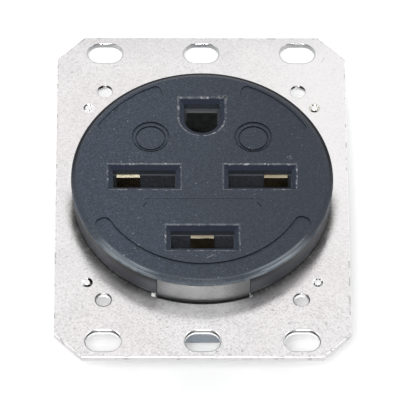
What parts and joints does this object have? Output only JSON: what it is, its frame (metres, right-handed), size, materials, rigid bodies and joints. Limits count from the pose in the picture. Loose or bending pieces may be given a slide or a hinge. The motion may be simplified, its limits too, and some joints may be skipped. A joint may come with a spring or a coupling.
{
  "type": "straight blade receptacle",
  "caption": "Flush mounting three phase receptacle: round slate grey face with chamfered blade openings on a zinc plated steel two gang mounting strap.",
  "frame": {"origin": "centre of the box screw slot pattern on the rear face of the mounting strap", "axes": "+Z out of the receptacle face, +Y towards the earth opening, +X to the right hand line slot seen from the front"},
  "size_m": [0.0688, 0.0926, 0.0263],
  "materials": {
    "zinc_steel": "zinc plated sheet, satin, mottled",
    "slate_plastic": "moulded thermoset, matte slate grey",
    "inner_plastic": "moulded thermoset, matte dark grey",
    "brass": "rolled strip, semi bright",
    "dull_brass": "rolled strip, dull",
    "spring_steel": "blued spring strip",
    "plated_steel": "zinc plated",
    "screw_brass": "turned, semi bright",
    "green_finish": "green dyed plating"
  },
  "bodies": {
    "root": {"mounting_strap": "zinc_steel", "face_cover": "slate_plastic", "front_insulator": "inner_plastic", "back_body": "inner_plastic", "clasp_upper": "zinc_steel", "clasp_lower": "zinc_steel", "contact_left": "brass", "contact_right": "brass", "contact_lower": "brass", "ground_contact": "dull_brass", "spring_left": "spring_steel", "spring_right": "spring_steel", "spring_lower": "spring_steel", "ground_bond_strip": "dull_brass", "clamp_left": "plated_steel", "clamp_right": "plated_steel", "clamp_lower": "plated_steel", "clamp_ground": "plated_steel", "terminal_screw_left": "screw_brass", "terminal_screw_right": "screw_brass", "terminal_screw_lower": "screw_brass", "ground_screw": "green_finish", "assembly_screw_upper": "plated_steel", "assembly_screw_lower": "plated_steel"}
  },
  "joints": []
}
